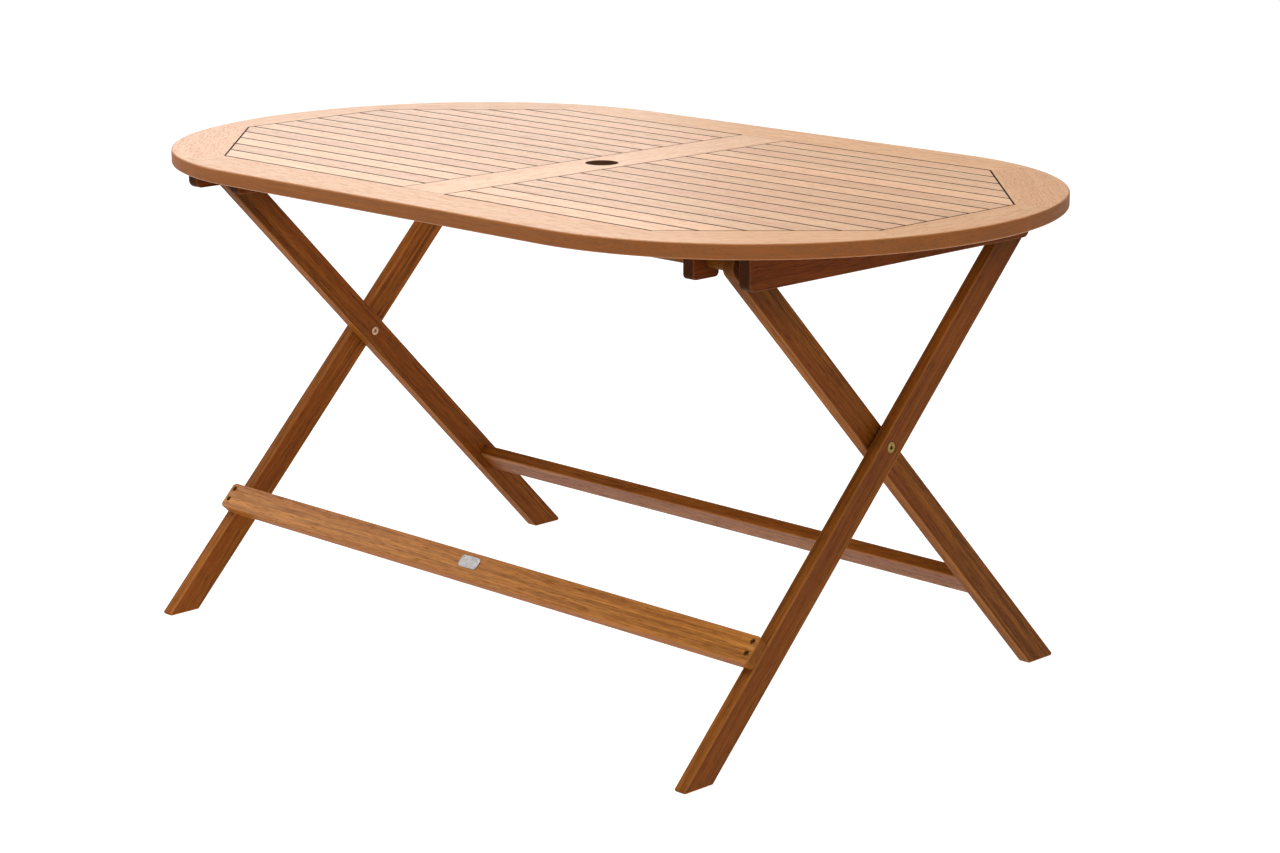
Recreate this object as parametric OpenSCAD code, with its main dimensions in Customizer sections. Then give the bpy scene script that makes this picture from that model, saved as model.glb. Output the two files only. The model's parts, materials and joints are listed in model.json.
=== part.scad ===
// Folding picnic table with an oval slatted top and a crossed pair of leg frames.
// Millimetres.  X runs along the table, Y across it, Z up; the origin is on the ground under
// the centre of the top.  "Near" is the -Y side, "far" is the +Y side.

/* [Table top] */
// Length of the top
top_length = 1500; // [1440:10:1600]
// Width of the top
top_width = 900; // [880:10:960]
// Height of the top above the ground
table_height = 745; // [725:1:765]
// Thickness of the boards and slats
board_t = 22; // [20:1:26]
// Radius of the two end curves
end_radius = 500; // [480:5:520]
// Radius of the four corner curves
corner_radius = 400; // [380:5:420]

/* [Slatted panel] */
// Half length of the eight-sided opening
opening_x = 672; // [660:1:680]
// Half width of the eight-sided opening
opening_y = 358; // [345:1:365]
// How far each corner of the opening is cut back
opening_cut = 214; // [190:1:230]
// Width of the centre rail
rail_w = 90; // [80:1:110]
// Diameter of the parasol hole
parasol_d = 50; // [38:1:60]
// Number of slats in each half
slat_count = 16; // [12:1:18]
// Gap between slats
slat_gap = 2.5; // [1.5:0.5:4]
// Gap at the ends of the slats
slat_end_gap = 1.2; // [0.6:0.2:2]
// Thickness of the tongue on each slat end
tongue_t = 7; // [5:1:8]
// Length of the tongue on each slat end
tongue_len = 8; // [5:1:10]

/* [Leg frames] */
// Width of a leg, seen from the end of the table
leg_w = 43; // [40:1:44]
// Thickness of a leg
leg_t = 20; // [18:1:20]
// Outer face of the outer legs from the middle of the table
outer_face = 580; // [560:1:581]
// Space between an inner and an outer leg
leg_space = 3; // [2:0.5:4]
// Height of the bolts on which the legs cross
pivot_z = 406; // [395:1:415]
// Half distance between the two round rods under the top
rod_y = 283; // [275:1:290]
// Depth of the rods below the underside of the top
rod_depth = 22.5; // [22.5:0.5:24]
// Diameter of the round rods
rod_d = 21; // [18:1:21]
// Radius of the corners of the feet
foot_round = 3; // [2:1:5]

/* [Stretchers] */
// Width of the stretchers
stretcher_w = 44; // [40:1:46]
// Thickness of the stretchers
stretcher_t = 20; // [18:1:20]
// Distance along the leg from the crossing to the upper edge of the stretchers
stretcher_drop = 341; // [330:1:350]
// Shift of the far stretcher towards the upper edge of the leg
far_shift = 2; // [0:0.5:4]
// Radius of the corners at the ends of the near stretcher
stretcher_round = 7; // [3:1:9]
// Length of the plain badge
badge_w = 40; // [30:1:50]
// Height of the plain badge
badge_h = 20; // [14:1:24]

/* [Battens and blocks] */
// Height of the long battens
batten_h = 48; // [44:1:50]
// Thickness of the battens and blocks
batten_t = 20; // [18:1:22]
// Reach of the long battens towards the near side
batten_near = 320; // [300:5:330]
// Reach of the long battens towards the far side
batten_far = 270; // [260:5:330]
// Radius of the lower corners of the battens
batten_round = 12; // [6:1:14]
// Height of the blocks
block_h = 46; // [43:1:48]
// Inner face of the blocks from the middle of the table
block_x = 478; // [460:1:490]
// Radius of the lower corners of the blocks
block_round = 7; // [4:1:8]

/* [Hardware] */
// Diameter of the pivot bolts
bolt_d = 8; // [6:1:8]
// Diameter of the bolt heads
bolt_head_d = 17; // [14:1:18]
// Diameter of the nuts
nut_d = 14; // [12:1:18]
// Diameter of the wood screw shanks
screw_d = 4.5; // [4:0.5:5]
// Diameter of the wood screw heads
screw_head_d = 8.5; // [8:0.5:9]

/* [Hidden] */
$fn = 64;
eps = 0.01;
running_gap = 0.05;
slide_gap = 0.3;
batten_gap = 2;

top_under = table_height - board_t;
rod_z = top_under - rod_depth;
leg_angle = atan2(rod_z - pivot_z, rod_y);
arm = norm([rod_y, rod_z - pivot_z]);
foot_reach = pivot_z / sin(leg_angle);

outer_in = outer_face - leg_t;
inner_face = outer_in - leg_space;
inner_in = inner_face - leg_t;
rod_socket = 14;

rail_half = rail_w / 2;
tenon_len = 30;
tenon_w = 70;
tenon_t = 8;
tenon_slack = 0.5;
stub_tenon_len = 14;
stub_tenon_w = 30;
stub_tenon_t = 10;

slat_w = (2 * opening_y - (slat_count + 1) * slat_gap) / slat_count;
mitre_reach = 300;
steep = 67.5;
shallow = 22.5;

block_far_end = rod_y + 29;
hinge_block_len = 50;
hinge_block_near = rod_y + 35;
catch_block_len = 72;
block_mid = block_x + batten_t / 2;

batten_in = outer_face + batten_gap;
batten_mid = batten_in + batten_t / 2;
batten_screw_slats = [2, 4, 6, 9, 11, 14];

screw_head_t = 3;
screw_len = 40;
batten_bore_depth = 21;
block_bore_depth = 18;
stretcher_bore_depth = 4;
stretcher_screw_len = 46;
stretcher_screw_at = [10, 29];

head_t = 5;
head_recess = 1;
head_bore_depth = head_t + head_recess + running_gap;
nut_t = 5;
socket_d = 6;
socket_depth = 3;
nut_bore_depth = 3.5;
washer_d = 22;
badge_t = 1;
badge_round = 6;
badge_drop = 17;

SIDES = [["left", -1], ["right", 1]];

// ---- Plan shapes of the top ----

// Oval outline: straight sides, four corner arcs and two end arcs that meet tangentially.
module outline_2d() {
    end_x = top_length / 2 - end_radius;
    corner_y = top_width / 2 - corner_radius;
    arc_gap = end_radius - corner_radius;
    corner_x = end_x + sqrt(arc_gap * arc_gap - corner_y * corner_y);
    meet = asin(corner_y / arc_gap);
    wedge = end_radius / cos(meet) + 1;
    square([2 * corner_x, top_width], center = true);
    for (sx = [-1, 1], sy = [-1, 1])
        translate([sx * corner_x, sy * corner_y]) circle(r = corner_radius, $fn = 180);
    for (a = [0, 180])
        rotate(a)
            translate([end_x, 0])
                intersection() {
                    circle(r = end_radius, $fn = 180);
                    polygon([[0, 0], wedge * [cos(meet), -sin(meet)], wedge * [cos(meet), sin(meet)]]);
                }
}

// Eight-sided opening, moved inwards by inset (outwards if negative).
module opening_2d(inset = 0) {
    x = opening_x - inset;
    y = opening_y - inset;
    cut = opening_cut - inset * (2 - sqrt(2));
    polygon([
        [x, -y + cut], [x, y - cut], [x - cut, y], [-x + cut, y],
        [-x, y - cut], [-x, -y + cut], [-x + cut, -y], [x - cut, -y]
    ]);
}

// Space between two mitre lines that leave corners a and b of the opening.
module mitre_wedge_2d(a, angle_a, b, angle_b) {
    polygon([
        a, a + mitre_reach * [cos(angle_a), sin(angle_a)],
        b + mitre_reach * [cos(angle_b), sin(angle_b)], b
    ]);
}

function slat_start(i) = -opening_y + slat_gap + (i - 1) * (slat_w + slat_gap);
function slat_middle(i) = slat_start(i) + slat_w / 2;
function slat_name(side, i) = str(side, "_slat_", i < 10 ? "0" : "", i);

module side_board_2d() {
    corner = [opening_x - opening_cut, opening_y];
    mitre_wedge_2d(corner, steep, [-corner.x, corner.y], 180 - steep);
}

module end_board_2d() {
    corner = [opening_x, opening_y - opening_cut];
    mitre_wedge_2d(corner, shallow, [corner.x, -corner.y], -shallow);
}

module corner_board_2d() {
    mitre_wedge_2d([opening_x - opening_cut, opening_y], steep,
        [opening_x, opening_y - opening_cut], shallow);
}

// ---- Fasteners, as solids and as the holes they need ----

// Wood screw standing on its head at the origin and pointing up.
module wood_screw(len) {
    cylinder(d = screw_head_d, h = screw_head_t);
    cylinder(d = screw_d, h = len);
}

// Hole for a wood screw, with a bore of the given depth below the head.
module screw_hole(len, bore_depth) {
    translate([0, 0, -bore_depth]) cylinder(d = screw_head_d, h = bore_depth + screw_head_t);
    cylinder(d = screw_d, h = len);
}

// Places its child at each screw of the battens.
module at_batten_screws() {
    for (side = SIDES, i = batten_screw_slats)
        translate([side[1] * batten_mid, slat_middle(i), top_under - batten_h + batten_bore_depth]) children();
}

// Places its child at each screw of the hinge blocks and the catch blocks.
module at_block_screws() {
    near_y = -block_far_end + 9;
    far_y = block_far_end - catch_block_len + 12;
    for (side = SIDES, y = [near_y, far_y])
        translate([side[1] * block_mid, y, top_under - block_h + block_bore_depth]) children();
}

module top_screw_holes() {
    at_batten_screws() screw_hole(screw_len, batten_bore_depth + 1);
    at_block_screws() screw_hole(screw_len, block_bore_depth + 1);
}

// ---- Boards, rail and slats of the top ----

// A rim board: its part of the ring between outline and opening, grooved for the slat tongues.
module rim_board() {
    color("burlywood")
        difference() {
            translate([0, 0, top_under])
                linear_extrude(board_t)
                    intersection() {
                        difference() {
                            outline_2d();
                            opening_2d();
                        }
                        children();
                    }
            tongue_groove();
            rail_mortises();
            top_screw_holes();
        }
}

module tongue_groove() {
    translate([0, 0, top_under + (board_t - tongue_t) / 2])
        linear_extrude(tongue_t)
            intersection() {
                opening_2d(-tongue_len - tenon_slack);
                square([2 * top_length, 2 * opening_y], center = true);
            }
}

module rail_mortises() {
    translate([-tenon_w / 2, -opening_y - tenon_len - tenon_slack, top_under + (board_t - tenon_t) / 2])
        cube([tenon_w, 2 * (opening_y + tenon_len + tenon_slack), tenon_t]);
}

module near_side_board() rim_board() mirror([0, 1]) side_board_2d();
module far_side_board() rim_board() side_board_2d();
module left_end_board() rim_board() mirror([1, 0]) end_board_2d();
module right_end_board() rim_board() end_board_2d();
module near_left_corner_board() rim_board() rotate(180) corner_board_2d();
module near_right_corner_board() rim_board() mirror([0, 1]) corner_board_2d();
module far_left_corner_board() rim_board() mirror([1, 0]) corner_board_2d();
module far_right_corner_board() rim_board() corner_board_2d();

// Wide rail across the middle, tenoned into the side boards, with the parasol hole.
module centre_rail() {
    groove_in = rail_half - tongue_len - tenon_slack;
    groove_z = top_under + (board_t - tongue_t) / 2;
    color("tan")
        difference() {
            union() {
                translate([-rail_half, -opening_y, top_under]) cube([rail_w, 2 * opening_y, board_t]);
                translate([-tenon_w / 2, -opening_y - tenon_len, top_under + (board_t - tenon_t) / 2])
                    cube([tenon_w, 2 * (opening_y + tenon_len), tenon_t]);
            }
            translate([0, 0, top_under - 1]) cylinder(d = parasol_d, h = board_t + 2);
            for (side = SIDES)
                translate([side[1] * (groove_in + rail_half) / 2, 0, groove_z + tongue_t / 2])
                    cube([rail_half - groove_in + eps, 2 * opening_y + 1, tongue_t], center = true);
        }
}

// One slat of the right half: a full board cut to the opening, with a tongue on each end.
module right_slat(i) {
    color("burlywood")
        difference() {
            union() {
                translate([0, 0, top_under])
                    linear_extrude(board_t) slat_2d(i, slat_end_gap, rail_half + slat_end_gap);
                translate([0, 0, top_under + (board_t - tongue_t) / 2])
                    linear_extrude(tongue_t) slat_2d(i, -tongue_len, rail_half - tongue_len);
            }
            top_screw_holes();
        }
}

module slat_2d(i, inset, start) {
    intersection() {
        opening_2d(inset);
        translate([start, slat_start(i)]) square([opening_x, slat_w]);
    }
}

module left_slat(i) mirror([1, 0, 0]) right_slat(i);

// ---- Battens and blocks under the top ----

// Bar seen from its side: square on top, with its two lower corners rounded.
module bar_2d(len, h, r) {
    translate([-len / 2, -h + r]) square([len, h - r]);
    translate([-len / 2 + r, -h]) square([len - 2 * r, h]);
    for (s = [-1, 1]) translate([s * (len / 2 - r), -h + r]) circle(r = r);
}

// Turns a side view drawn in (y, z) into a solid from x to x + t.
module across(x, t) {
    translate([x, 0, 0]) rotate([90, 0, 90]) linear_extrude(t) children();
}

module batten() {
    color("sienna")
        difference() {
            translate([0, (batten_far - batten_near) / 2, top_under])
                across(batten_in, batten_t) bar_2d(batten_near + batten_far, batten_h, batten_round);
            top_screw_holes();
        }
}

module right_batten() batten();
module left_batten() mirror([1, 0, 0]) batten();

// Block in which the hinge rod of the inner frame turns.
module hinge_block() {
    color("saddlebrown")
        difference() {
            translate([0, -hinge_block_near + hinge_block_len / 2, top_under])
                across(block_x, batten_t) bar_2d(hinge_block_len, block_h, block_round);
            translate([block_x - 1, -rod_y, rod_z])
                rotate([0, 90, 0]) cylinder(r = rod_d / 2 + running_gap, h = batten_t + 2);
            top_screw_holes();
        }
}

module right_hinge_block() hinge_block();
module left_hinge_block() mirror([1, 0, 0]) hinge_block();

// Block whose open slot takes the catch rod of the outer frame.
module catch_block() {
    slot_r = rod_d / 2 + slide_gap;
    color("saddlebrown")
        difference() {
            translate([0, block_far_end - catch_block_len / 2, top_under])
                across(block_x, batten_t) bar_2d(catch_block_len, block_h, block_round);
            across(block_x - 1, batten_t + 2) {
                translate([rod_y, rod_z]) circle(r = slot_r);
                translate([rod_y, rod_z - slot_r]) square([block_far_end, 2 * slot_r]);
            }
            top_screw_holes();
        }
}

module catch_blocks() {
    catch_block();
    mirror([1, 0, 0]) catch_block();
}

module top_screws() {
    color("darkgoldenrod") {
        at_batten_screws() wood_screw(screw_len);
        at_block_screws() wood_screw(screw_len);
    }
}

// ---- Leg frames ----

// Places its children in a leg's own axes: x along the leg from the crossing towards its top at
// the far side, y square to it towards the upper edge.
module along_leg_2d() translate([0, pivot_z]) rotate(leg_angle) children();

// Side view of an outer leg in (y, z), with a round top end and a level, rounded foot.
module leg_2d() {
    half = leg_w / 2;
    foot_y = -pivot_z / tan(leg_angle);
    spread = half / sin(leg_angle);
    near_toe = [foot_y - spread, 0];
    far_toe = [foot_y + spread, 0];
    up = [cos(leg_angle), sin(leg_angle)];
    near_cut = foot_round / tan(leg_angle / 2);
    far_cut = foot_round * tan(leg_angle / 2);
    along_leg_2d() {
        translate([-foot_reach + leg_w, -half]) square([arm + foot_reach - leg_w, leg_w]);
        translate([arm, 0]) circle(r = half);
    }
    polygon([
        near_toe + [near_cut, 0], far_toe - [far_cut, 0], far_toe + far_cut * up,
        far_toe + 3 * leg_w * up, near_toe + 3 * leg_w * up, near_toe + near_cut * up
    ]);
    translate([near_toe.x + near_cut, foot_round]) circle(r = foot_round);
    translate([far_toe.x - far_cut, foot_round]) circle(r = foot_round);
}

// Cylinder along X through the crossing, from x0 to x1.
module pivot_cylinder(d, x0, x1) {
    translate([x0, 0, pivot_z]) rotate([0, 90, 0]) cylinder(d = d, h = x1 - x0);
}

// Cylinder along X at a rod, from x0 to x1.
module rod_cylinder(d, y, x0, x1) {
    translate([x0, y, rod_z]) rotate([0, 90, 0]) cylinder(d = d, h = x1 - x0);
}

module right_outer_leg() {
    color("saddlebrown")
        difference() {
            across(outer_in, leg_t) leg_2d();
            pivot_cylinder(bolt_d + 2 * running_gap, outer_in - 1, outer_face + 1);
            pivot_cylinder(bolt_head_d + 1, outer_face - head_bore_depth, outer_face + 1);
            rod_cylinder(rod_d, rod_y, outer_in - 1, outer_in + rod_socket);
            stretcher_screw_holes();
        }
}

module left_outer_leg() mirror([1, 0, 0]) right_outer_leg();

module right_inner_leg() {
    color("saddlebrown")
        difference() {
            across(inner_in, leg_t) mirror([1, 0]) leg_2d();
            pivot_cylinder(bolt_d, inner_in - 1, inner_face + 1);
            pivot_cylinder(nut_d, inner_in - 1, inner_in + nut_bore_depth);
            rod_cylinder(rod_d, -rod_y, inner_in - 1, inner_in + rod_socket);
            across(inner_in - 1, stub_tenon_len + 1)
                far_stretcher_2d(stub_tenon_w, stub_tenon_t);
        }
}

module left_inner_leg() mirror([1, 0, 0]) right_inner_leg();

// Section of the far stretcher, or of its tenon, in (y, z).
module far_stretcher_2d(w, t) {
    mirror([1, 0])
        along_leg_2d()
            translate([-stretcher_drop - stretcher_w / 2, far_shift]) square([w, t], center = true);
}

// Stretcher between the inner legs, with a stub tenon in each.
module far_stretcher() {
    color("saddlebrown") {
        reach = inner_in + stub_tenon_len;
        union() {
            across(-inner_in, 2 * inner_in) far_stretcher_2d(stretcher_w, stretcher_t);
            across(-reach, 2 * reach) far_stretcher_2d(stub_tenon_w, stub_tenon_t);
        }
    }
}

// Places its children on the broad face of the near stretcher: x along the table, y up the
// leg from the lower edge of the stretcher, z out of the face.
module on_near_stretcher() {
    translate([0, 0, pivot_z])
        rotate([leg_angle, 0, 0])
            translate([0, -stretcher_drop - stretcher_w, leg_w / 2 + stretcher_t])
                children();
}

module at_stretcher_screws() {
    x = (outer_in + outer_face) / 2;
    on_near_stretcher()
        for (side = SIDES, drop = stretcher_screw_at)
            translate([side[1] * x, stretcher_w - drop, -stretcher_bore_depth])
                rotate([180, 0, 0]) children();
}

module stretcher_screw_holes() {
    at_stretcher_screws() screw_hole(stretcher_screw_len, stretcher_bore_depth + 1);
}

// Stretcher laid flat on the upper edges of the outer legs.
module near_stretcher() {
    half = outer_face - stretcher_round;
    color("peru")
        difference() {
            on_near_stretcher()
                translate([0, 0, -stretcher_t])
                    linear_extrude(stretcher_t) {
                        translate([-half, 0]) square([2 * half, stretcher_w]);
                        translate([-outer_face, stretcher_round])
                            square([2 * outer_face, stretcher_w - 2 * stretcher_round]);
                        for (sx = [-1, 1], y = [stretcher_round, stretcher_w - stretcher_round])
                            translate([sx * half, y]) circle(r = stretcher_round);
                    }
            stretcher_screw_holes();
        }
}

module stretcher_screws() {
    color("darkgoldenrod") at_stretcher_screws() wood_screw(stretcher_screw_len);
}

// Plain badge in the middle of the near stretcher.
module badge() {
    color("silver")
        on_near_stretcher()
            translate([0, stretcher_w - badge_drop, 0])
                linear_extrude(badge_t) {
                    square([badge_w - 2 * badge_round, badge_h], center = true);
                    square([badge_w, badge_h - 2 * badge_round], center = true);
                    for (sx = [-1, 1], sy = [-1, 1])
                        translate([sx * (badge_w / 2 - badge_round), sy * (badge_h / 2 - badge_round)])
                            circle(r = badge_round);
                }
}

module hinge_rod() {
    reach = inner_in + rod_socket;
    color("sienna") rod_cylinder(rod_d, -rod_y, -reach, reach);
}

module catch_rod() {
    reach = outer_in + rod_socket;
    color("sienna") rod_cylinder(rod_d, rod_y, -reach, reach);
}

// ---- Crossing bolts ----

// Bolt with a sunk head and a hexagon socket on the outer leg.
module pivot_bolt() {
    head_out = outer_face - head_recess;
    difference() {
        union() {
            pivot_cylinder(bolt_head_d, head_out - head_t, head_out);
            pivot_cylinder(bolt_d, inner_in + nut_bore_depth, head_out - eps);
        }
        translate([head_out - socket_depth, 0, pivot_z])
            rotate([0, 90, 0]) cylinder(d = socket_d, h = socket_depth + 1, $fn = 6);
    }
}

// Round nut sunk in the inner leg, with the end of the bolt's thread in its middle.
module pivot_nut() {
    difference() {
        pivot_cylinder(nut_d, inner_in + nut_bore_depth - nut_t, inner_in + nut_bore_depth);
        pivot_cylinder(socket_d, inner_in + nut_bore_depth - nut_t - 1, inner_in + nut_bore_depth - 2);
    }
}

module pivot_washer() {
    difference() {
        pivot_cylinder(washer_d, inner_face, outer_in - running_gap);
        pivot_cylinder(bolt_d, inner_face - 1, outer_in + 1);
    }
}

module both_sides() {
    children();
    mirror([1, 0, 0]) children();
}

module pivot_bolts() color("goldenrod") both_sides() pivot_bolt();
module pivot_nuts() color("tan") both_sides() pivot_nut();
module pivot_washers() color("gray") both_sides() pivot_washer();

// ---- Assembly ----

near_side_board();
far_side_board();
left_end_board();
right_end_board();
near_left_corner_board();
near_right_corner_board();
far_left_corner_board();
far_right_corner_board();
centre_rail();
for (i = [1:slat_count]) left_slat(i);
for (i = [1:slat_count]) right_slat(i);
left_batten();
right_batten();
left_hinge_block();
right_hinge_block();
catch_blocks();
top_screws();
left_inner_leg();
right_inner_leg();
far_stretcher();
hinge_rod();
left_outer_leg();
right_outer_leg();
near_stretcher();
catch_rod();
stretcher_screws();
badge();
pivot_bolts();
pivot_nuts();
pivot_washers();
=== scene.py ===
"""Looks of a folding hardwood picnic table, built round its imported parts.

Metres throughout, in the frame of the parts: X runs along the table, Y across it to the far
side, and Z up.  Every board is a finished copy of its part: the arrises are eased, and each
board carries its own grain, so that rings, fibres and pores follow it as they do in timber.
"""

import json
import logging
import math
import random
from dataclasses import dataclass, replace
from enum import Enum
from typing import Callable, ClassVar, Iterable, Mapping, Sequence

import bmesh
import bpy
from mathutils import Matrix, Vector


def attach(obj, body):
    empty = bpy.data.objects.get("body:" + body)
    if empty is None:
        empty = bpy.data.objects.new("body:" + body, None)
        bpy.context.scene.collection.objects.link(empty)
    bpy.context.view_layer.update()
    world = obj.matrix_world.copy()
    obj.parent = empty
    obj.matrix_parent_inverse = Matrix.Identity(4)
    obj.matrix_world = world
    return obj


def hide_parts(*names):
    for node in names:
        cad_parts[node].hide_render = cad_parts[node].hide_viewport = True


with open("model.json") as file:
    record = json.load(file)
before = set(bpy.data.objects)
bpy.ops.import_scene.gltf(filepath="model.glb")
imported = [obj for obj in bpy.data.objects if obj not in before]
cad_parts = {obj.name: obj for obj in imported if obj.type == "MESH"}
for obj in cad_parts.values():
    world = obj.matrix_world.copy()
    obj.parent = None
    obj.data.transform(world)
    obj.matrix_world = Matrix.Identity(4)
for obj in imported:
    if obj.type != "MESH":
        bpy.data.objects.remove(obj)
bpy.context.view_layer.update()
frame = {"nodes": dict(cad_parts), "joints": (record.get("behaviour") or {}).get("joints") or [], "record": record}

LOG = logging.getLogger("picnic_table")

Triple = tuple[float, float, float]
EaseRule = Callable[[bmesh.types.BMEdge], float]

BODY_OF = {
    node: body
    for body, nodes in frame["record"]["behaviour"]["bodies"].items()
    for node in nodes
}
JOINT_AT = {joint["name"]: Vector(joint["pos_m"]) for joint in frame["joints"]}

# Finding and easing arrises: turn of an arris, turn across a flat, weld distance, longest side
# of a screw hole's mouth, and facets of an eased arris.
SHARP = math.radians(40)
FACET = math.radians(0.4)
WELD = 2e-6
SMALL_HOLE_EDGE = 0.0015
EASE_STEPS = 4

# The parasol hole's reach and the strength of the painted shade on its wall, and where the ends of the rail begin.
HOLE_REACH = 0.03
HOLE_SHADE = 0.048
RAIL_END = 0.3

# Cells per metre of the wood's noises, along and twice across the grain.
DRIFT_CELLS = (1.3, 6.0, 6.0)
WIDE_CELLS = (0.7, 30.0, 30.0)
STREAK_CELLS = (1.6, 130.0, 130.0)
FIBRE_CELLS = (14.0, 420.0, 420.0)
PORE_CELLS = (45.0, 1300.0, 1300.0)

# How far the rings wander, how far into a gap the painted shade turns dark, and the heights of the leg tops, where
# painted shade stands in for the table top's shadow.
RING_DRIFT = (0.0, 0.03, 0.03)
GAP_SHUT = 0.07
LEG_TOPS = (0.56, 0.70)

# Radii of the arrises of bolts and nuts, and of thin plates.
METAL_EASE = 0.0004
PLATE_EASE = 0.0002


# ---- Node trees ----


class Signal:
    """A socket of a node tree, with arithmetic that adds Math nodes."""

    def __init__(self, graph: "Graph", socket: bpy.types.NodeSocket) -> None:
        """Wraps a socket.

        Args:
            graph: The tree that the socket belongs to.
            socket: An output socket.
        """
        self.graph = graph
        self.socket = socket

    def _math(self, operation: str, *values: "Signal | float") -> "Signal":
        """Adds one Math node.

        Args:
            operation: The Math node's operation.
            values: Its inputs, in order.

        Returns:
            The node's result.
        """
        return self.graph.signal("ShaderNodeMath", {"operation": operation}, dict(enumerate(values)))

    def __add__(self, other: "Signal | float") -> "Signal":
        """Returns self + other."""
        return self._math("ADD", self, other)

    def __radd__(self, other: float) -> "Signal":
        """Returns other + self."""
        return self._math("ADD", other, self)

    def __sub__(self, other: "Signal | float") -> "Signal":
        """Returns self - other."""
        return self._math("SUBTRACT", self, other)

    def __rsub__(self, other: float) -> "Signal":
        """Returns other - self."""
        return self._math("SUBTRACT", other, self)

    def __mul__(self, other: "Signal | float") -> "Signal":
        """Returns self * other."""
        return self._math("MULTIPLY", self, other)

    def __rmul__(self, other: float) -> "Signal":
        """Returns other * self."""
        return self._math("MULTIPLY", other, self)

    def __truediv__(self, other: "Signal | float") -> "Signal":
        """Returns self / other."""
        return self._math("DIVIDE", self, other)

    def __pow__(self, other: float) -> "Signal":
        """Returns self raised to other."""
        return self._math("POWER", self, other)

    def fraction(self) -> "Signal":
        """Returns the part after the decimal point."""
        return self._math("FRACT", self)

    def between(self, low: float, high: float) -> "Signal":
        """Maps low to 0 and high to 1, smoothly and held outside.

        Args:
            low: The value that becomes 0.
            high: The value that becomes 1.

        Returns:
            The mapped signal.
        """
        return self.graph.signal(
            "ShaderNodeMapRange",
            {"interpolation_type": "SMOOTHSTEP"},
            {"Value": self, "From Min": low, "From Max": high},
        )


class Graph:
    """A node tree, with one method that adds any node."""

    def __init__(self, tree: bpy.types.NodeTree) -> None:
        """Wraps a tree.

        Args:
            tree: The tree to add nodes to.
        """
        self.tree = tree

    def node(
        self,
        kind: str,
        settings: Mapping[str, object] | None = None,
        inputs: Mapping[str | int, object] | None = None,
    ) -> bpy.types.Node:
        """Adds a node.

        Args:
            kind: The node's type.
            settings: Its properties, set first.
            inputs: A value, socket or signal for each input, by name, identifier or place.

        Returns:
            The node.
        """
        made = self.tree.nodes.new(kind)
        for key, value in (settings or {}).items():
            setattr(made, key, value)
        for key, value in (inputs or {}).items():
            self.feed(self.find(made.inputs, key), value)
        return made

    def signal(
        self,
        kind: str,
        settings: Mapping[str, object] | None = None,
        inputs: Mapping[str | int, object] | None = None,
        output: str | int = 0,
    ) -> Signal:
        """Adds a node and wraps one of its outputs.

        Args:
            kind: The node's type.
            settings: Its properties, set first.
            inputs: A value, socket or signal for each input.
            output: The output to wrap, by name, identifier or place.

        Returns:
            That output.
        """
        made = self.node(kind, settings, inputs)
        return Signal(self, self.find(made.outputs, output))

    def feed(self, socket: bpy.types.NodeSocket, value: object) -> None:
        """Links a socket, or sets its value.

        Args:
            socket: The input socket.
            value: A number, tuple, socket or signal.
        """
        if isinstance(value, Signal):
            value = value.socket
        if isinstance(value, bpy.types.NodeSocket):
            self.tree.links.new(value, socket)
        else:
            socket.default_value = value

    @staticmethod
    def find(sockets: Sequence[bpy.types.NodeSocket], key: str | int) -> bpy.types.NodeSocket:
        """Finds a socket.

        Args:
            sockets: A node's inputs or outputs.
            key: The socket's place, identifier or name.

        Returns:
            The first enabled socket that matches.
        """
        if isinstance(key, int):
            return sockets[key]
        return next(s for s in sockets if s.enabled and key in (s.identifier, s.name))


class Shader(Graph):
    """The node tree of one material, with a Principled surface."""

    def __init__(self, name: str) -> None:
        """Makes the material.

        Args:
            name: The material's name.
        """
        self.material = bpy.data.materials.new(name)
        self.material.use_nodes = True
        super().__init__(self.material.node_tree)
        self.tree.nodes.clear()
        self.surface = self.node("ShaderNodeBsdfPrincipled")
        self.node("ShaderNodeOutputMaterial", None, {"Surface": self.surface.outputs[0]})

    def attribute(self, name: str, output: str = "Vector") -> Signal:
        """Returns a mesh attribute, as a vector or, for output "Fac", as a number."""
        return self.signal("ShaderNodeAttribute", {"attribute_name": name}, None, output)

    def vector(self, operation: str, *values: object, output: str = "Vector") -> Signal:
        """Adds one Vector Math node.

        Args:
            operation: The node's operation.
            values: Its inputs, in order; a scale is given as the fourth.
            output: The output to return.

        Returns:
            The result.
        """
        inputs = {i: v for i, v in enumerate(values) if v is not None}
        return self.signal("ShaderNodeVectorMath", {"operation": operation}, inputs, output)

    def noise(
        self, place: Signal, detail: float = 2.0, roughness: float = 0.5, output: str = "Fac"
    ) -> Signal:
        """Returns a noise of scale 1 at a place, from 0 to 1, or its colour."""
        inputs = {"Vector": place, "Scale": 1.0, "Detail": detail, "Roughness": roughness}
        return self.signal("ShaderNodeTexNoise", None, inputs, output)

    def mix(self, factor: Signal | float, first: object, second: object) -> Signal:
        """Mixes two colours.

        Args:
            factor: 0 for the first, 1 for the second.
            first: A colour or signal.
            second: A colour or signal.

        Returns:
            The mixed colour.
        """
        colours = [c if isinstance(c, Signal) else (*c, 1.0) for c in (first, second)]
        return self.signal(
            "ShaderNodeMix",
            {"data_type": "RGBA", "clamp_factor": True},
            {"Factor_Float": factor, "A_Color": colours[0], "B_Color": colours[1]},
            "Result_Color",
        )

    def set(self, **sockets: object) -> None:
        """Sets the Principled surface's sockets, with _ in a name standing for a space."""
        for name, value in sockets.items():
            self.feed(self.find(self.surface.inputs, name.replace("_", " ")), value)


# ---- Finishes ----


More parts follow.
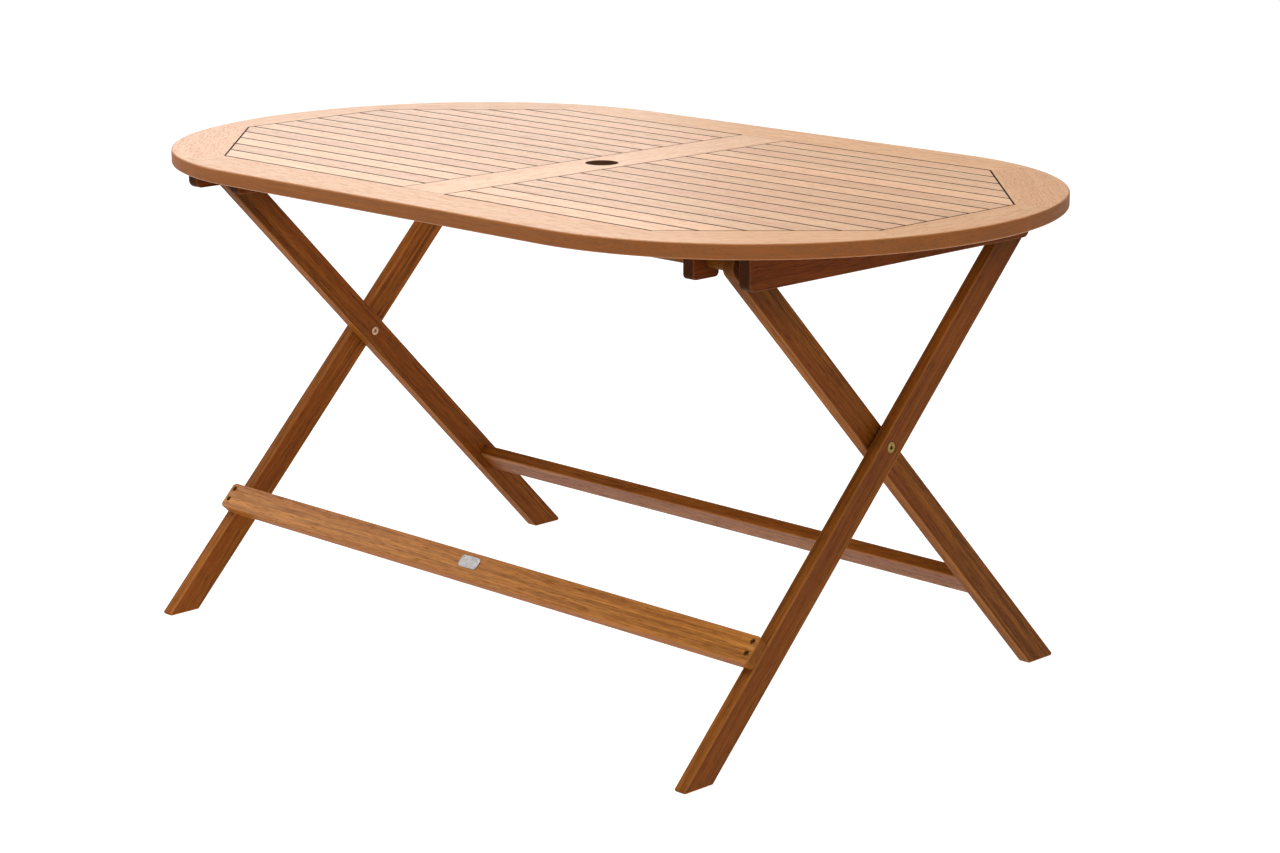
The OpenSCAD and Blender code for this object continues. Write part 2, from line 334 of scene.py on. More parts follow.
@dataclass(frozen=True)
class WoodFinish:
    """Oiled hardwood whose figure comes from rings, streaks, fibres and pores.

    Attributes:
        name: The material's name.
        pale: Triple of the early wood.
        dark: Triple of the late wood and the streaks.
        warm: Triple that the redder boards lean to.
        pore: Triple inside the pores.
        ring_gap: Distance between growth rings.
        edge: Triple of the board's narrow sides.
        arris_line_and_highlight: Triple that the eased arrises are tinted to: where it is lighter than the board,
            as on the legs and battens, a painted highlight; where it is darker, as on the top and rim, a line that
            marks the gaps and seams.
        figure: How strongly rings and streaks show, from 0 to 1.
        side_figure: How much of that figure the narrow sides show.
        shift: How much the tone differs from board to board.
        roughness: Roughness of the oiled surface.
        porous: How dark the pores show on the broad faces, from 0 to 1.
        gloss: Specular level of the oiled surface.
        sheen: Weight of the film of oil on the broad faces.
        painted_under_top_shade: How much painted shade darkens the board at the height of the table's underside,
            standing in for the top's shadow.
    """

    name: str
    pale: Triple
    dark: Triple
    warm: Triple
    pore: Triple
    edge: Triple
    arris_line_and_highlight: Triple
    ring_gap: float = 0.0042
    figure: float = 0.6
    side_figure: float = 0.6
    shift: float = 0.14
    roughness: float = 0.42
    porous: float = 0.5
    gloss: float = 0.06
    sheen: float = 0.0
    painted_under_top_shade: float = 0.0

    def make(self) -> bpy.types.Material:
        """Returns the material."""
        shader = Shader(self.name)
        grain = shader.attribute("grain")
        tone = shader.node("ShaderNodeSeparateXYZ", None, {0: shader.attribute("tone")})
        lightness, redness = (Signal(shader, tone.outputs[i]) for i in (0, 1))
        end, side, arris, gap = (
            shader.attribute(name, "Fac") for name in ("end_grain", "side_face", "arris", "gap")
        )
        broad = 1.0 - end - side
        # Painted shade: the upright walls of the gaps between boards, and of the parasol hole, go almost black.
        shade_in_gap = gap.between(0.0, GAP_SHUT)
        place = shader.signal("ShaderNodeTexCoord", None, None, "Object")
        height = Signal(shader, shader.node("ShaderNodeSeparateXYZ", None, {0: place}).outputs[2])

        drift = shader.noise(shader.vector("MULTIPLY", grain, DRIFT_CELLS), output="Color")
        drift = shader.vector("SUBTRACT", drift, (0.5, 0.5, 0.5))
        bent = shader.vector("MULTIPLY_ADD", drift, RING_DRIFT, grain)
        across = shader.vector("MULTIPLY", bent, (0.0, 1.0, 1.0))
        turns = shader.vector("LENGTH", across, output="Value") * (1 / self.ring_gap)
        uneven = shader.signal(
            "ShaderNodeTexNoise",
            {"noise_dimensions": "1D"},
            {"W": turns * 0.7, "Scale": 1.0, "Detail": 3.0, "Roughness": 0.6},
        )
        rings = (turns.fraction() ** 3.0) * 0.5 + uneven.between(0.38, 0.66) * 0.5
        wide = shader.noise(shader.vector("MULTIPLY", bent, WIDE_CELLS), 2.0, 0.5)
        streak = shader.noise(shader.vector("MULTIPLY", bent, STREAK_CELLS), 3.0, 0.6)
        fibre = shader.noise(shader.vector("MULTIPLY", grain, FIBRE_CELLS), 3.0, 0.65)
        dash = shader.noise(shader.vector("MULTIPLY", grain, PORE_CELLS), 1.0, 0.4)
        pores = dash.between(0.57, 0.67)

        figure = rings * 0.3 + streak.between(0.36, 0.64) * 0.42 + fibre.between(0.38, 0.62) * 0.42
        figure = figure * (self.figure * (1.0 - 0.4 * end))
        colour = shader.mix(figure, self.pale, self.dark)
        lean = redness * 0.45 + wide.between(0.35, 0.65) * 0.55
        colour = shader.mix(lean.between(0.15, 0.9) * 0.6, colour, self.warm)
        colour = shader.mix(pores * self.porous, colour, self.pore)
        narrow = shader.mix(figure * self.side_figure + pores * 0.3, self.edge, self.pore)
        colour = shader.mix((end + side).between(0.0, 0.8) * 0.85, colour, narrow)
        # Painted highlight on the arrises where this colour is lighter than the board; a darker line along the
        # gaps and seams where it is darker.
        colour = shader.mix(arris * 0.35, colour, self.arris_line_and_highlight)
        level = (1.0 + lightness * self.shift) * (1.0 - 0.38 * end)
        # Painted shade: darker in the gaps and the parasol hole, and on the leg tops under the table top.
        level = level * (1.0 - 0.95 * shade_in_gap) * (1.0 - self.painted_under_top_shade * height.between(*LEG_TOPS))
        colour = shader.signal(
            "ShaderNodeVectorMath", {"operation": "SCALE"}, {0: colour, "Scale": level}, "Vector"
        )
        relief = fibre * 0.7 - pores * 0.6 + rings * 0.15
        normal = shader.signal(
            "ShaderNodeBump", None, {"Strength": 0.35, "Distance": 0.0005, "Height": relief}, "Normal"
        )
        rough = self.roughness + fibre * 0.12 + pores * 0.08 + end * 0.15
        shader.set(Base_Color=colour, Roughness=rough, Normal=normal)
        shader.set(Specular_IOR_Level=self.gloss, Coat_Roughness=0.36)
        shader.set(Coat_Weight=broad * (1.0 - pores) * (1.0 - shade_in_gap) * self.sheen)
        return shader.material


@dataclass(frozen=True)
class MetalFinish:
    """Metal with fine scratches along one way and slow patches of tarnish.

    Attributes:
        name: The material's name.
        bright: Triple of the clean metal.
        tarnish: Triple of the duller patches.
        stretch: Scale of the scratches along X, Y and Z.
        roughness: Roughness of the clean metal.
        dullness: How much of the tarnish shows, from 0 to 1.
    """

    name: str
    bright: Triple
    tarnish: Triple
    stretch: Triple
    roughness: float
    dullness: float

    def make(self) -> bpy.types.Material:
        """Returns the material."""
        shader = Shader(self.name)
        place = shader.signal("ShaderNodeTexCoord", None, None, "Object")
        scratch = shader.noise(shader.vector("MULTIPLY", place, self.stretch), 3.0, 0.6)
        patch = shader.noise(shader.vector("MULTIPLY", place, (260.0, 260.0, 260.0)), 3.0, 0.6)
        dull = patch.between(0.4, 0.75) * self.dullness
        colour = shader.mix(dull + scratch.between(0.45, 0.8) * 0.2, self.bright, self.tarnish)
        relief = shader.signal(
            "ShaderNodeBump", None, {"Strength": 0.25, "Distance": 0.0001, "Height": scratch}, "Normal"
        )
        rough = self.roughness + dull * 0.3 + scratch * 0.15
        shader.set(Base_Color=colour, Roughness=rough, Normal=relief, Metallic=1.0)
        return shader.material


TOP_WOOD = WoodFinish(
    "slat_wood",
    pale=(0.68, 0.43, 0.25),
    dark=(0.36, 0.17, 0.075),
    warm=(0.55, 0.29, 0.17),
    pore=(0.17, 0.07, 0.03),
    edge=(0.30, 0.13, 0.05),
    arris_line_and_highlight=(0.42, 0.22, 0.11),
    shift=0.1,
    porous=0.3,
    sheen=0.9,
)
RIM_WOOD = WoodFinish(
    "rim_wood",
    pale=(0.64, 0.38, 0.20),
    dark=(0.38, 0.17, 0.065),
    warm=(0.54, 0.27, 0.13),
    pore=(0.15, 0.055, 0.02),
    edge=(0.25, 0.062, 0.004),
    arris_line_and_highlight=(0.31, 0.105, 0.022),
    side_figure=1.2,
    shift=0.05,
    porous=0.3,
    gloss=0.03,
    sheen=0.9,
)
LEG_WOOD = WoodFinish(
    "leg_wood",
    pale=(0.31, 0.104, 0.013),
    dark=(0.072, 0.018, 0.0025),
    warm=(0.185, 0.043, 0.006),
    pore=(0.025, 0.006, 0.002),
    edge=(0.34, 0.112, 0.015),
    arris_line_and_highlight=(0.46, 0.19, 0.055),
    figure=0.95,
    roughness=0.38,
    gloss=0.03,
    sheen=0.04,
    # Painted shade on the tops of the legs and rods, under the table top.
    painted_under_top_shade=0.5,
)
STRETCHER_WOOD = WoodFinish(
    "stretcher_wood",
    pale=(0.53, 0.215, 0.036),
    dark=(0.18, 0.055, 0.007),
    warm=(0.40, 0.135, 0.018),
    pore=(0.06, 0.016, 0.004),
    edge=(0.34, 0.11, 0.02),
    arris_line_and_highlight=(0.46, 0.20, 0.06),
    figure=0.9,
    roughness=0.36,
    gloss=0.03,
    sheen=0.2,
)
# The leg wood with a paler base colour for the far stretcher: painted light, as if it were lit more brightly than
# the legs; its film of oil is a real coat.
PAINTED_LIT_LEG_WOOD = replace(LEG_WOOD, name="pale_leg_wood", pale=(0.42, 0.165, 0.035), sheen=0.3)
# Wood of the battens and blocks, darkened below the leg wood as painted shade under the table top.
PAINTED_SHADE_BATTEN_WOOD = WoodFinish(
    "batten_wood",
    pale=(0.19, 0.050, 0.008),
    dark=(0.06, 0.014, 0.0025),
    warm=(0.12, 0.026, 0.005),
    pore=(0.018, 0.005, 0.002),
    edge=(0.075, 0.026, 0.009),
    arris_line_and_highlight=(0.24, 0.085, 0.026),
    figure=0.95,
    gloss=0.03,
)
BRASS = MetalFinish(
    "brass",
    bright=(0.30, 0.20, 0.065),
    tarnish=(0.12, 0.07, 0.022),
    stretch=(900.0, 900.0, 900.0),
    roughness=0.34,
    dullness=0.8,
)
STEEL = MetalFinish(
    "yellow_zinc",
    bright=(0.56, 0.36, 0.23),
    tarnish=(0.24, 0.14, 0.08),
    stretch=(700.0, 700.0, 700.0),
    roughness=0.38,
    dullness=0.6,
)
PLATE = MetalFinish(
    "brushed_plate",
    bright=(0.36, 0.36, 0.36),
    tarnish=(0.2, 0.2, 0.2),
    stretch=(60.0, 2400.0, 2400.0),
    roughness=0.4,
    dullness=0.4,
)


# ---- Boards ----


class Sawing(Enum):
    """How a board was sawn from its log: where the log's heart lies from the board's middle."""

    PLAIN = (0.004, 0.055)
    RIFT = (0.045, 0.050)
    QUARTER = (0.070, 0.006)


class Walls(Enum):
    """Which upright sides of a board stand in a narrow gap, and are darkened there with painted shade."""

    NONE = 0
    INNER = 1
    ALL = 2


@dataclass(frozen=True)
class Timber:
    """A board's own axes and the way it was sawn.

    Attributes:
        along: Direction of the grain.
        face: Direction across the board's broad face, out of it.
        sawing: How the board was sawn.
        walls: The sides that stand in a gap, which get painted shade.
        HEART_SPREAD: Least and greatest share of the heart's distance, drawn for each board.
        HEART_DRIFT: Most that the heart is drawn sideways.
        LOG_LENGTH: Length of the log that boards are drawn from.
    """

    along: Vector
    face: Vector
    sawing: Sawing = Sawing.PLAIN
    walls: Walls = Walls.NONE

    HEART_SPREAD: ClassVar[tuple[float, float]] = (0.6, 1.6)
    HEART_DRIFT: ClassVar[float] = 0.012
    LOG_LENGTH: ClassVar[float] = 6.0

    def mark(self, mesh: bpy.types.Mesh, name: str) -> None:
        """Writes the attributes that the wood's material reads on a mesh.

        Args:
            mesh: The finished mesh.
            name: The board's name, which fixes its own draw of grain and tone.
        """
        draw = random.Random(name)
        length = self.along.normalized()
        out = (self.face - self.face.dot(length) * length).normalized()
        axes = Matrix((length, out.cross(length), out))
        middle = sum((v.co for v in mesh.vertices), Vector()) / len(mesh.vertices)
        side, depth = self.sawing.value
        drift = self.HEART_DRIFT
        heart = Vector((
            draw.uniform(0.0, self.LOG_LENGTH),
            draw.choice((-1, 1)) * side * draw.uniform(*self.HEART_SPREAD) + draw.uniform(-drift, drift),
            draw.choice((-1, 1)) * depth * draw.uniform(*self.HEART_SPREAD),
        ))
        tone = (draw.uniform(-1, 1), draw.random(), draw.random())
        places = [axes @ (v.co - middle) + heart for v in mesh.vertices]
        grain = mesh.attributes.new("grain", "FLOAT_VECTOR", "POINT")
        grain.data.foreach_set("vector", [x for place in places for x in place])
        shade = mesh.attributes.new("tone", "FLOAT_VECTOR", "POINT")
        shade.data.foreach_set("vector", tone * len(mesh.vertices))
        for label, axis in (("end_grain", length), ("side_face", axes[1])):
            share = mesh.attributes.new(label, "FLOAT", "FACE")
            share.data.foreach_set("value", [face.normal.dot(axis) ** 2 for face in mesh.polygons])
        # Painted shade in the gaps, written per face for the material.
        gap = mesh.attributes.new("gap", "FLOAT", "FACE")
        gap.data.foreach_set("value", [self._painted_gap_shade(face) for face in mesh.polygons])

    def _painted_gap_shade(self, face: bpy.types.MeshPolygon) -> float:
        """Tells how much painted shade a face gets for standing in a gap.

        Args:
            face: A face of the board.

        Returns:
            0 for a face in the open, up to 1 for an upright wall of a gap, and a little for the
            wall of the parasol hole.
        """
        # Painted shade on the wall of the parasol hole.
        if face.center.xy.length < HOLE_REACH:
            return HOLE_SHADE * (1 - face.normal.z ** 2)
        inwards = face.normal.xy.dot(face.center.xy) < 0
        if self.walls is Walls.ALL or (self.walls is Walls.INNER and inwards):
            return 1 - face.normal.z ** 2
        return 0.0


def is_small_hole(edge: bmesh.types.BMEdge) -> bool:
    """Tells whether an edge is a short side of a screw hole's mouth.

    Args:
        edge: A sharp edge of the part.

    Returns:
        True if it is short and one of its faces belongs to a hollow curved wall.
    """
    if edge.calc_length() > SMALL_HOLE_EDGE:
        return False
    walls = [e for face in edge.link_faces for e in face.edges if len(e.link_faces) == 2]
    return any(-SHARP < wall.calc_face_angle_signed() < -FACET for wall in walls)


def ease_all(radius: float) -> EaseRule:
    """Returns a rule that eases every arris by the same radius."""
    return lambda edge: radius


def eased_copy(node: str, rule: EaseRule) -> bpy.types.Mesh:
    """Copies a part's mesh, joins its loose triangles and rounds its outer arrises.

    Args:
        node: The part to copy.
        rule: Gives the radius of each sharp, outward edge, or 0 to leave it.

    Returns:
        The new mesh.
    """
    shape = bmesh.new()
    shape.from_mesh(frame["nodes"][node].data)
    bmesh.ops.remove_doubles(shape, verts=shape.verts, dist=WELD)
    bmesh.ops.dissolve_limit(
        shape, angle_limit=FACET, verts=shape.verts, edges=shape.edges, delimit={"NORMAL"}
    )
    arris = shape.faces.layers.float.new("arris")
    radii: dict[float, list[bmesh.types.BMEdge]] = {}
    for edge in shape.edges:
        if edge.calc_face_angle_signed(0.0) > SHARP and not is_small_hole(edge):
            radii.setdefault(rule(edge), []).append(edge)
    radii.pop(0.0, None)
    for radius in sorted(radii, reverse=True):
        eased = bmesh.ops.bevel(
            shape,
            geom=[edge for edge in radii[radius] if edge.is_valid],
            offset=radius,
            offset_type="OFFSET",
            segments=EASE_STEPS,
            profile=0.5,
            affect="EDGES",
            clamp_overlap=True,
            material=-1,
        )
        for face in eased["faces"]:
            face[arris] = 1.0
    mesh = bpy.data.meshes.new(node + "_eased")
    shape.to_mesh(mesh)
    shape.free()
    return mesh


def evened(piece: bpy.types.Object) -> bpy.types.Mesh:
    """Applies a piece's modifiers.

    Args:
        piece: An object with modifiers.

    Returns:
        A plain mesh of the result.
    """
    graph = bpy.context.evaluated_depsgraph_get()
    return bpy.data.meshes.new_from_object(
        piece.evaluated_get(graph), preserve_all_data_layers=True, depsgraph=graph
    )


def smooth_shaded(mesh: bpy.types.Mesh, name: str) -> bpy.types.Object:
    """Makes an object whose flats stay flat while its eased arrises shade smoothly.

    Args:
        mesh: The mesh to show.
        name: The object's name.

    Returns:
        The object, with a plain mesh.
    """
    mesh.shade_smooth()
    mesh.set_sharp_from_angle(angle=SHARP)
    piece = bpy.data.objects.new(name, mesh)
    bpy.context.scene.collection.objects.link(piece)
    weights = piece.modifiers.new("weights", "WEIGHTED_NORMAL")
    weights.keep_sharp = True
    even = evened(piece)
    piece.modifiers.clear()
    piece.data = even
    return piece


def hang(piece: bpy.types.Object, *nodes: str) -> bpy.types.Object:
    """Puts a piece in its parts' place.

    Args:
        piece: The finished piece.
        nodes: The parts that it stands for, all on one body.

    Returns:
        The piece.
    """
    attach(piece, BODY_OF[nodes[0]])
    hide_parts(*nodes)
    LOG.info("%s on %s: %d faces", piece.name, BODY_OF[nodes[0]], len(piece.data.polygons))
    return piece


def board(node: str, timber: Timber, rule: EaseRule, wood: bpy.types.Material) -> bpy.types.Object:
    """Makes one finished board.

    Args:
        node: The part that it stands for.
        timber: The board's grain.
        rule: How its arrises are eased.
        wood: Its material.

    Returns:
        The board.
    """
    piece = smooth_shaded(eased_copy(node, rule), node + "_board")
    timber.mark(piece.data, node)
    piece.data.materials.append(wood)
    return hang(piece, node)


def fitting(node: str, radius: float, metal: bpy.types.Material) -> bpy.types.Object:
    """Makes one finished metal piece.

    Args:
        node: The part that it stands for.
        radius: Radius of its broken arrises.
        metal: Its material.

    Returns:
        The piece.
    """
    piece = smooth_shaded(eased_copy(node, ease_all(radius)), node + "_metal")
    piece.data.materials.append(metal)
    return hang(piece, node)


# ---- Screws ----


def islands(node: str) -> list[list[Vector]]:
    """Splits a part into its separate solids.

    Args:
        node: A part that holds several solids.

    Returns:
        The corners of each solid.
    """
    shape = bmesh.new()
    shape.from_mesh(frame["nodes"][node].data)
    bmesh.ops.remove_doubles(shape, verts=shape.verts, dist=WELD)
    left, found = set(shape.verts), []
    while left:
        queue, solid = [left.pop()], []
        while queue:
            corner = queue.pop()
            solid.append(corner.co.copy())
            near = {edge.other_vert(corner) for edge in corner.link_edges} & left
            left -= near
            queue.extend(near)
        found.append(solid)
    shape.free()
    return found


@dataclass
class WoodScrews:
    """Cross-headed wood screws, repeated by a node tree at the places of a part's solids.

    Attributes:
        node: The part that holds the screws' solids.
        axis: Direction from a screw's head to its tip.
        length: Length of a screw.
        head_d: Diameter of the head.
        head_h: Height of the head.
        shank_d: Diameter over the thread.
        thread_pitch: Distance between the thread's turns.
        slot_w: Width of each arm of the cross in the head.
        CORE: Radius of the core, as a share of the shank's diameter.
        RIDGE: Radius of the thread's profile, as a share of it.
        TIP: Length of the tip, as a share of it.
        SEAT: Where the shank starts, as a share of the head's height.
        THREADED: Length of the thread, as a share of the straight core.
        BARE: Where the thread starts, as a share of the straight core.
        ARM: Length of the cross, as a share of the head's diameter.
        CUT_RISE: How far the cross lies towards the shank, as a share of the head's height.
    """

    node: str
    axis: Vector
    length: float
    head_d: float = 0.0084
    head_h: float = 0.0029
    shank_d: float = 0.0044
    thread_pitch: float = 0.0022
    slot_w: float = 0.0009

    CORE: ClassVar[float] = 0.36
    RIDGE: ClassVar[float] = 0.12
    TIP: ClassVar[float] = 1.6
    SEAT: ClassVar[float] = 0.9
    THREADED: ClassVar[float] = 0.85
    BARE: ClassVar[float] = 0.12
    ARM: ClassVar[float] = 0.56
    CUT_RISE: ClassVar[float] = 0.08

    def seats(self) -> list[Vector]:
        """Returns the middle of each screw's head face."""
        places = []
        for solid in islands(self.node):
            depths = [corner.dot(self.axis) for corner in solid]
            flat = [corner - corner.dot(self.axis) * self.axis for corner in solid]
            middle = sum(flat, Vector()) / len(flat)
            places.append(middle + min(depths) * self.axis)
        return sorted(places, key=lambda place: tuple(place))

    def sizes(self) -> dict[str, float]:
        """Returns the node tree's inputs that are lengths, by name."""
        return {
            "Head Diameter": self.head_d,
            "Head Height": self.head_h,
            "Shank Diameter": self.shank_d,
            "Length": self.length,
            "Thread Pitch": self.thread_pitch,
            "Slot Width": self.slot_w,
        }

    def tree(self) -> tuple[bpy.types.NodeTree, dict[str, str]]:
        """Builds the node tree.

        Returns:
            The tree, and the identifier of each of its inputs by name.
        """
        group = bpy.data.node_groups.new("wood_screws", "GeometryNodeTree")
        sizes = self.sizes()
        group.interface.new_socket(name="Places", in_out="INPUT", socket_type="NodeSocketGeometry")
        for name in sizes:
            group.interface.new_socket(name=name, in_out="INPUT", socket_type="NodeSocketFloat")
        group.interface.new_socket(name="Axis", in_out="INPUT", socket_type="NodeSocketVector")
        group.interface.new_socket(name="Metal", in_out="INPUT", socket_type="NodeSocketMaterial")
        group.interface.new_socket(name="Screws", in_out="OUTPUT", socket_type="NodeSocketGeometry")
        graph = Graph(group)
        given = graph.node("NodeGroupInput")
        size = {name: Signal(graph, graph.find(given.outputs, name)) for name in sizes}
        head = self._head(graph, size)
        body = self._shank(graph, size)
        whole = graph.node("GeometryNodeJoinGeometry")
        for part in (head, *body):
            group.links.new(part, whole.inputs[0])
        turn = graph.signal(
            "FunctionNodeAlignRotationToVector", {"axis": "Z"}, {"Vector": given.outputs["Axis"]}
        )
        placed = graph.signal(
            "GeometryNodeInstanceOnPoints",
            None,
            {"Points": given.outputs["Places"], "Instance": whole.outputs[0], "Rotation": turn},
        )
        real = graph.signal("GeometryNodeRealizeInstances", None, {0: placed})
        dressed = graph.signal(
            "GeometryNodeSetMaterial", None, {"Geometry": real, "Material": given.outputs["Metal"]}
        )
        graph.node("NodeGroupOutput", None, {"Screws": dressed})
        names = {item.name: item.identifier for item in group.interface.items_tree}
        return group, names

    def _head(self, graph: Graph, size: Mapping[str, Signal]) -> bpy.types.NodeSocket:
        """Adds the head: a low cone with a cross cut into its face.

        Args:
            graph: The tree.
            size: The tree's named sizes.

        Returns:
            The head's geometry.
        """
        cone = graph.node(
            "GeometryNodeMeshCone",
            None,
            {
                "Vertices": 40,
                "Radius Top": size["Shank Diameter"] * 0.5,
                "Radius Bottom": size["Head Diameter"] * 0.5,
                "Depth": size["Head Height"],
            },
        )
        arm = size["Head Diameter"] * self.ARM
        cuts = []
        for across in (False, True):
            sides = (size["Slot Width"], arm) if across else (arm, size["Slot Width"])
            shape = graph.signal(
                "ShaderNodeCombineXYZ", None, {0: sides[0], 1: sides[1], 2: size["Head Height"]}
            )
            cuts.append(graph.signal("GeometryNodeMeshCube", None, {"Size": shape}, "Mesh"))
        cutter = graph.node("GeometryNodeMeshBoolean", {"operation": "UNION", "solver": "EXACT"})
        for cut in cuts:
            graph.tree.links.new(cut.socket, graph.find(cutter.inputs, "Mesh 2"))
        cross = Signal(graph, cutter.outputs["Mesh"])
        lowered = self._lifted(graph, cross, size["Head Height"] * self.CUT_RISE)
        head = graph.node(
            "GeometryNodeMeshBoolean",
            {"operation": "DIFFERENCE", "solver": "EXACT"},
            {"Mesh 1": cone.outputs["Mesh"]},
        )
        graph.tree.links.new(lowered.socket, graph.find(head.inputs, "Mesh 2"))
        return head.outputs["Mesh"]

    def _shank(self, graph: Graph, size: Mapping[str, Signal]) -> list[bpy.types.NodeSocket]:
        """Adds the shank, its tip and the thread round it.

        Args:
            graph: The tree.
            size: The tree's named sizes.

        Returns:
            The geometry of the three.
        """
        core = size["Shank Diameter"] * self.CORE
        tip = size["Shank Diameter"] * self.TIP
        start = size["Head Height"] * self.SEAT
        straight = size["Length"] - start - tip
        rod = graph.signal(
            "GeometryNodeMeshCylinder", None, {"Vertices": 20, "Radius": core, "Depth": straight}, "Mesh"
        )
        rod = self._lifted(graph, rod, start + straight * 0.5)
        point = graph.signal(
            "GeometryNodeMeshCone",
            None,
            {"Vertices": 20, "Radius Top": 0.0, "Radius Bottom": core, "Depth": tip},
            "Mesh",
        )
        point = self._lifted(graph, point, size["Length"] - tip)
        threaded = straight * self.THREADED
        helix = graph.signal(
            "GeometryNodeCurveSpiral",
            None,
            {
                "Resolution": 14,
                "Rotations": threaded / size["Thread Pitch"],
                "Start Radius": core,
                "End Radius": core,
                "Height": threaded,
            },
        )
        edge = graph.signal(
            "GeometryNodeCurvePrimitiveCircle",
            None,
            {"Resolution": 3, "Radius": size["Shank Diameter"] * self.RIDGE},
        )
        thread = graph.signal(
            "GeometryNodeCurveToMesh", None, {"Curve": helix, "Profile Curve": edge, "Fill Caps": True}
        )
        thread = self._lifted(graph, thread, start + straight * self.BARE)
        return [rod.socket, point.socket, thread.socket]

    @staticmethod
    def _lifted(graph: Graph, shape: Signal, height: Signal) -> Signal:
        """Moves a shape along the screw.

        Args:
            graph: The tree.
            shape: The geometry.
            height: How far it moves.

        Returns:
            The moved geometry.
        """
        move = graph.signal("ShaderNodeCombineXYZ", None, {2: height})
        return graph.signal("GeometryNodeTransform", None, {"Geometry": shape, "Translation": move})

    def build(self, metal: bpy.types.Material) -> bpy.types.Object:
        """Makes the screws.

        Args:
            metal: Their material.

        Returns:
            One piece that holds them all.
        """
        places = bpy.data.meshes.new(self.node + "_places")
        places.from_pydata(self.seats(), [], [])
        piece = bpy.data.objects.new(self.node + "_metal", places)
        bpy.context.scene.collection.objects.link(piece)
        tree, names = self.tree()
        maker = piece.modifiers.new("screws", "NODES")
        maker.node_group = tree
        for name, value in {**self.sizes(), "Axis": self.axis, "Metal": metal}.items():
            maker[names[name]] = value
        piece.data.update()
        mesh = evened(piece)
        piece.modifiers.clear()
        piece.data = mesh
        return hang(piece, self.node)


# ---- Sub-assemblies ----


@dataclass
class TableTop:
    """The oval top: rim, rail and slats, with the battens and blocks under it.

    Attributes:
        rim_round: Radius of the rim's outer arris at the top and the bottom.
        slat_ease: Radius of the arrises next to the gaps between the slats.
        mitre_ease: Radius of the arrises where two rim boards meet.
        batten_ease: Radius of the arrises of the battens and blocks.
        screw_length: Length of the screws under the top.
        MITRE_TURN: Product of a mitre face's outward turns along X and Y, at most.
        UPRIGHT: Upward share of an outside face's normal, at most.
        OUTWARD: Sum of an outside face's outward turns, at least.
    """

    rim_round: float = 0.0028
    slat_ease: float = 0.001
    mitre_ease: float = 0.0003
    batten_ease: float = 0.0016
    screw_length: float = 0.040

    MITRE_TURN: ClassVar[float] = -0.2
    UPRIGHT: ClassVar[float] = 0.1
    OUTWARD: ClassVar[float] = 0.5

    def rim(self, wood: bpy.types.Material) -> None:
        """Builds the eight boards of the rim.

        Args:
            wood: The rim's material.
        """
        up = Vector((0, 0, 1))
        for side in ("near", "far"):
            timber = Timber(Vector((1, 0, 0)), up, walls=Walls.INNER)
            board(f"{side}_side_board", timber, self._rim_rule, wood)
            for end, slope in (("left", -1), ("right", 1)):
                turn = slope if side == "near" else -slope
                timber = Timber(Vector((1, turn, 0)), up, Sawing.RIFT, Walls.INNER)
                board(f"{side}_{end}_corner_board", timber, self._rim_rule, wood)
        for end in ("left", "right"):
            timber = Timber(Vector((0, 1, 0)), up, Sawing.RIFT, Walls.INNER)
            board(f"{end}_end_board", timber, self._rim_rule, wood)

    def _rim_rule(self, edge: bmesh.types.BMEdge) -> float:
        """Eases a rim board: full along the outside, little along the slats, least at a mitre.

        Args:
            edge: A sharp edge of the board.

        Returns:
            The radius.
        """
        middle = (edge.verts[0].co + edge.verts[1].co) / 2
        outside = False
        for face in edge.link_faces:
            turn_x = face.normal.x * math.copysign(1, middle.x)
            turn_y = face.normal.y * math.copysign(1, middle.y)
            if turn_x * turn_y < self.MITRE_TURN:
                return self.mitre_ease
            upright = abs(face.normal.z) < self.UPRIGHT
            outside = outside or (upright and turn_x + turn_y > self.OUTWARD)
        return self.rim_round if outside else self.slat_ease

    def rail(self, wood: bpy.types.Material) -> None:
        """Builds the centre rail.

        Args:
            wood: The rail's material.
        """
        timber = Timber(Vector((0, 1, 0)), Vector((0, 0, 1)), walls=Walls.ALL)
        board("centre_rail", timber, self._rail_rule, wood)

    def _rail_rule(self, edge: bmesh.types.BMEdge) -> float:
        """Eases the rail, but not where its ends meet the rim.

        Args:
            edge: A sharp edge of the rail.

        Returns:
            The radius.
        """
        for face in edge.link_faces:
            if abs(face.normal.y) > 0.99 and abs(face.calc_center_median().y) > RAIL_END:
                return 0.0
        return self.slat_ease

    def slats(self, wood: bpy.types.Material) -> None:
        """Builds the slats of both halves.

        Args:
            wood: The slats' material.
        """
        names = sorted(node for node in frame["nodes"] if "_slat_" in node)
        for node in names:
            sawing = random.Random("sawing " + node).choice(list(Sawing))
            timber = Timber(Vector((1, 0, 0)), Vector((0, 0, 1)), sawing, Walls.ALL)
            board(node, timber, ease_all(self.slat_ease), wood)

    def underside(self, wood: bpy.types.Material) -> None:
        """Builds the battens and the blocks.

        Args:
            wood: Their material.
        """
        timber = Timber(Vector((0, 1, 0)), Vector((1, 0, 0)), Sawing.RIFT)
        battens = ("left_batten", "right_batten")
        blocks = ("left_hinge_block", "right_hinge_block", "catch_blocks")
        for node in battens + blocks:
            board(node, timber, ease_all(self.batten_ease), wood)

    def screws(self, metal: bpy.types.Material) -> None:
        """Builds the screws that hold the battens and the blocks.

        Args:
            metal: Their material.
        """
        WoodScrews("top_screws", Vector((0, 0, 1)), self.screw_length).build(metal)


